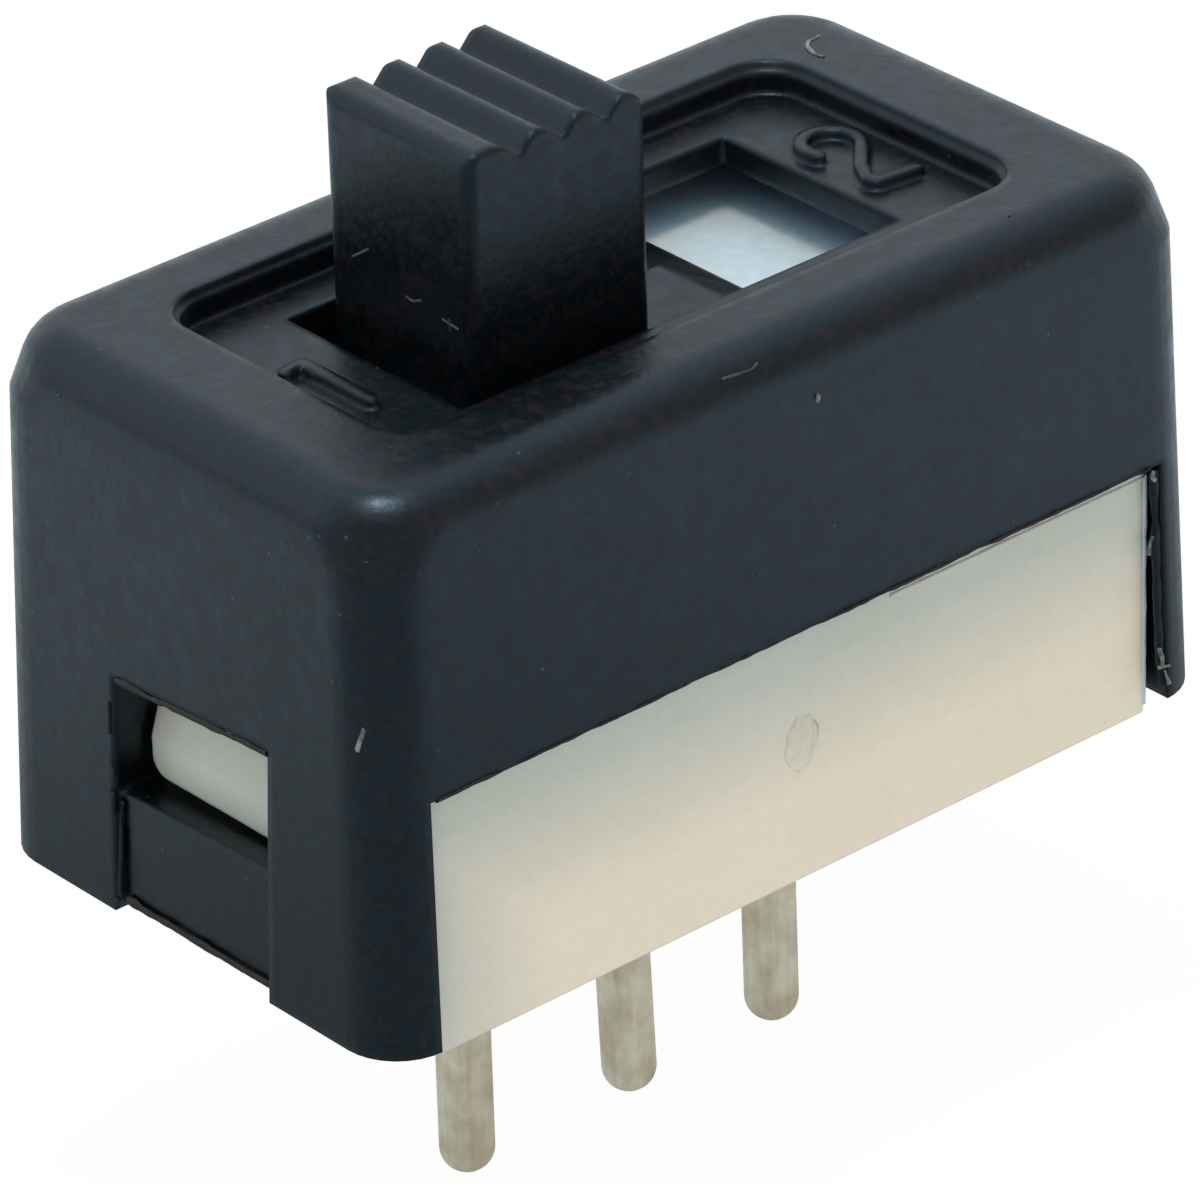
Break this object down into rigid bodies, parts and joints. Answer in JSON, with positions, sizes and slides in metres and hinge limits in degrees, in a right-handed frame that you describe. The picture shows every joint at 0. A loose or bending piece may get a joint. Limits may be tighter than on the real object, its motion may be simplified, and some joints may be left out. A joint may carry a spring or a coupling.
{
  "type": "slide switch",
  "caption": "Miniature board-mounted slide switch with a black cover clipped over a white base, a ribbed slider and three pins on a 2.54 mm pitch.",
  "frame": {"origin": "centre of the base's seat on the board", "axes": "+X from position 1 to position 2, -Y towards the moulding gate side, +Z away from the board along the slider's stem"},
  "size_m": [0.0134, 0.0076, 0.0147],
  "materials": {
    "black_moulding": "fine satin moulded surface",
    "white_moulding": "slightly translucent warm white moulding",
    "tinned_strip": "dull tin plating with drawing marks from the die",
    "contact_bronze": "bright rolled spring bronze"
  },
  "bodies": {
    "housing": {"cover": "black_moulding", "base": "white_moulding", "guide_plate": "white_moulding", "terminal_1": "tinned_strip", "terminal_common": "tinned_strip", "terminal_2": "tinned_strip"},
    "actuator": {"slider": "black_moulding", "contact_clip": "contact_bronze"}
  },
  "joints": [
    {"name": "slider_travel", "type": "slide", "parent": "housing", "child": "actuator", "axis": [1, 0, 0], "range_m": [0, 0.0033]}
  ]
}
